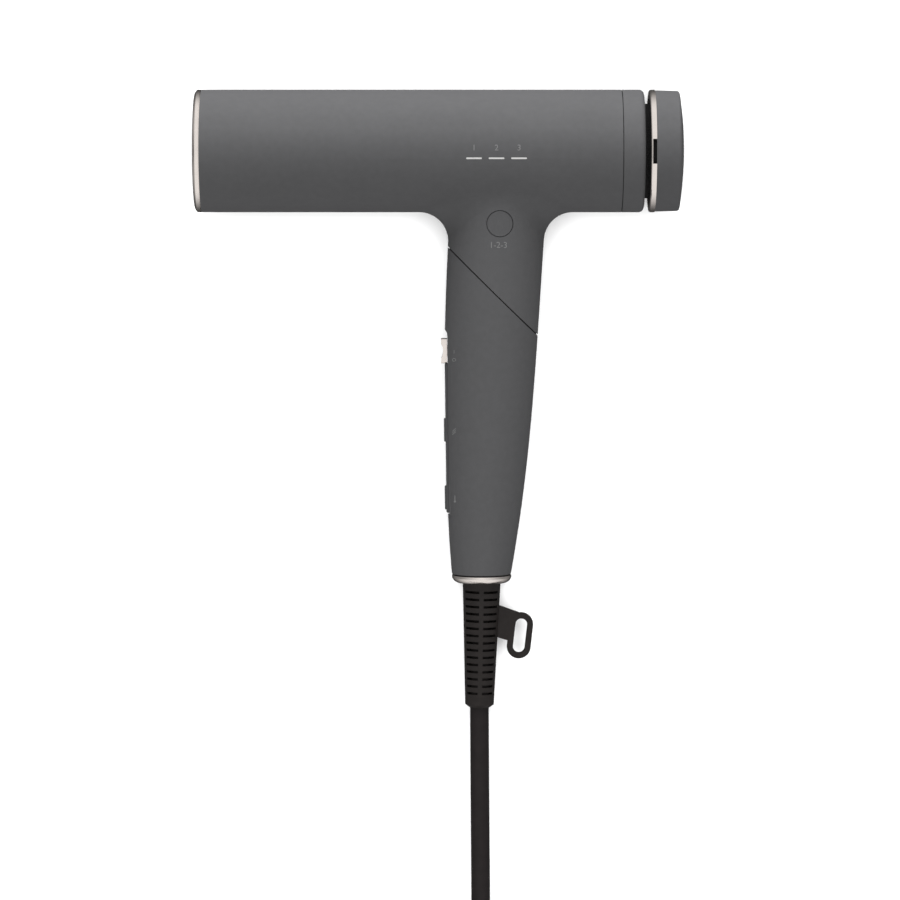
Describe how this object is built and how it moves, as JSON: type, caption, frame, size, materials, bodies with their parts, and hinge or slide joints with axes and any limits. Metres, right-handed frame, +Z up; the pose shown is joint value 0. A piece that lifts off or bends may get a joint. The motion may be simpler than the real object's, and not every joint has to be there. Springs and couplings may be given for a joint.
{
  "type": "hair dryer",
  "caption": "T-shaped hair dryer with a folding handle, removable magnetic rear filter cap, push buttons, slide switch, hanging loop and a coiled mains cord with two-pin plug.",
  "frame": {"origin": "centre of the dryer's bounding box in plan, on the surface that it lies on, without its cord", "axes": "+X from the air outlet to the filter cap along the barrel, +Y from the cord to the barrel, +Z up from the surface, on the mode button's side"},
  "size_m": [0.2196, 0.5566, 0.0551],
  "materials": {
    "barrel_shell": "soft-touch grey paint",
    "handle_shell": "soft-touch grey paint",
    "cap_shell": "soft-touch grey paint",
    "switch_plastic": "satin grey",
    "button_plastic": "satin grey",
    "black_plastic": "moulded black",
    "capacitor_plastic": "glossy",
    "circuit_board": "solder mask",
    "warm_chrome": "polished warm nickel chrome",
    "nickel": "bright nickel",
    "steel": "plain steel",
    "filter_steel": "blackened woven wire",
    "heating_wire": "oxidised resistance wire",
    "aluminium": "plain",
    "mica": "pressed mica sheet",
    "ceramic": "glazed",
    "fan_plastic": "moulded black",
    "lens": "milky light guide",
    "soft_black": "matt soft moulding",
    "cord_rubber": "matt cord jacket",
    "plug_plastic": "moulded black"
  },
  "bodies": {
    "handle": {"handle_housing": "handle_shell", "handle_plate": "black_plastic", "handle_screws": "steel", "seam_gasket": "soft_black", "stop_pin": "steel", "wave_washer": "steel", "wire_harness": "cord_rubber", "switch_panel": "switch_plastic", "slide_switch": "black_plastic", "tact_switches": "black_plastic", "switch_board": "circuit_board", "handle_chassis": "black_plastic", "control_board": "circuit_board", "film_capacitor": "capacitor_plastic", "triac_heatsink": "aluminium", "ion_generator": "black_plastic", "cord_clamp": "black_plastic", "end_seal": "soft_black", "end_ring": "warm_chrome", "strain_relief": "soft_black", "hanging_loop": "soft_black", "power_cord": "cord_rubber", "cord_coil": "cord_rubber", "cord_tie": "soft_black", "plug_boot": "cord_rubber", "plug_body": "plug_plastic", "plug_pins": "nickel"},
    "barrel": {"barrel_housing": "barrel_shell", "front_ring": "warm_chrome", "outlet_sleeve": "black_plastic", "outlet_grille": "black_plastic", "ion_emitter": "ceramic", "heater_liner": "steel", "mica_frame": "mica", "heating_coil": "heating_wire", "thermostat": "steel", "air_duct": "black_plastic", "motor_damper": "soft_black", "motor_can": "steel", "rear_collar": "barrel_shell", "inlet_cage": "black_plastic", "keeper_disc": "steel", "indicator_strip": "circuit_board", "indicator_lenses": "lens", "mode_switch": "circuit_board", "neck_plate": "black_plastic", "neck_screws": "steel", "pivot_tube": "steel", "retaining_ring": "steel"},
    "fan": {"motor_shaft": "steel", "fan_rotor": "fan_plastic"},
    "filter_cap": {"filter_cap": "cap_shell", "cap_magnet": "nickel", "cap_trim_ring": "warm_chrome", "filter_frame": "black_plastic", "filter_mesh": "filter_steel"},
    "mode_button": {"mode_button": "button_plastic"},
    "power_slider": {"power_slider": "warm_chrome"},
    "speed_button": {"speed_button": "button_plastic"},
    "heat_button": {"heat_button": "button_plastic"}
  },
  "joints": [
    {"name": "handle_fold", "type": "hinge", "parent": "handle", "child": "barrel", "pos_m": [0.02425, 0.04921, 0.02286], "axis": [0.7009, 0.7113, 0.0524], "range_deg": [0, 180]},
    {"name": "fan_spin", "type": "hinge", "parent": "barrel", "child": "fan", "pos_m": [0.06525, 0.11214, 0.0275], "axis": [1, 0, 0], "continuous": true},
    {"name": "filter_cap_pull", "type": "slide", "parent": "barrel", "child": "filter_cap", "axis": [1, 0, 0], "range_m": [0, 0.03]},
    {"name": "mode_press", "type": "slide", "parent": "barrel", "child": "mode_button", "axis": [0, 0.0735, -0.9973], "range_m": [0, 0.0008], "stiffness_N_per_m": 900, "springref_m": -0.0004},
    {"name": "power_slide", "type": "slide", "parent": "handle", "child": "power_slider", "axis": [-0.0122, 0.9972, 0.0735], "range_m": [0, 0.002]},
    {"name": "speed_press", "type": "slide", "parent": "handle", "child": "speed_button", "axis": [0.9999, 0.0122, 0.0009], "range_m": [0, 0.0006], "stiffness_N_per_m": 1200, "springref_m": -0.0004},
    {"name": "heat_press", "type": "slide", "parent": "handle", "child": "heat_button", "axis": [0.9999, 0.0122, 0.0009], "range_m": [0, 0.0006], "stiffness_N_per_m": 1200, "springref_m": -0.0004}
  ]
}
